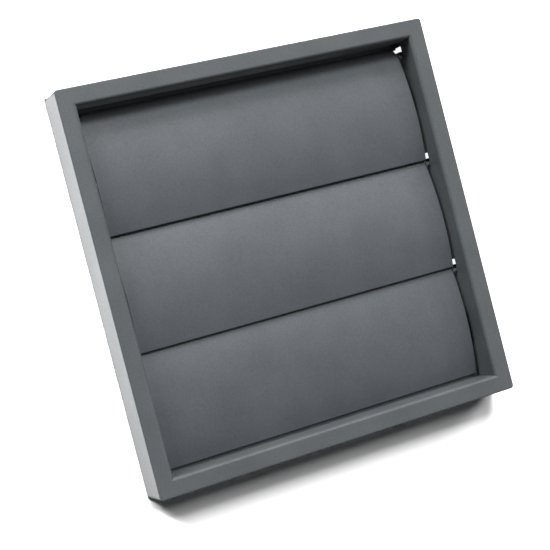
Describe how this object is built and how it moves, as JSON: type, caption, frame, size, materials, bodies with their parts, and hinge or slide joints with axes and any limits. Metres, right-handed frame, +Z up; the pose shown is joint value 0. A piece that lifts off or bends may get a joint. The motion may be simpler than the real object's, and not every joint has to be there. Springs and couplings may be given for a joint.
{
  "type": "gravity vent grille",
  "caption": "Square wall vent grille: a moulded frame holding curved horizontal flaps that swing outward on end pins and fall shut by their own weight.",
  "frame": {"origin": "middle of the back plane, the plane that goes against the wall", "axes": "+Z up, -Y out of the wall towards the viewer, +X to the viewer's right"},
  "size_m": [0.14, 0.0156, 0.14],
  "materials": {
    "frame_plastic": "moulded mid grey ABS, fine spark-eroded texture",
    "flap_plastic": "moulded mid grey ABS, fine spark-eroded texture"
  },
  "bodies": {
    "frame": {"frame": "frame_plastic"},
    "flap_top": {"flap_top": "flap_plastic"},
    "flap_middle": {"flap_middle": "flap_plastic"},
    "flap_bottom": {"flap_bottom": "flap_plastic"}
  },
  "joints": [
    {"name": "flap_top_swing", "type": "hinge", "parent": "frame", "child": "flap_top", "pos_m": [0, -0.00642, 0.0583], "axis": [-1, 0, 0], "range_deg": [0, 75]},
    {"name": "flap_middle_swing", "type": "hinge", "parent": "frame", "child": "flap_middle", "pos_m": [0, -0.00642, 0.0176], "axis": [-1, 0, 0], "range_deg": [0, 75]},
    {"name": "flap_bottom_swing", "type": "hinge", "parent": "frame", "child": "flap_bottom", "pos_m": [0, -0.00642, -0.0231], "axis": [-1, 0, 0], "range_deg": [0, 75]}
  ]
}
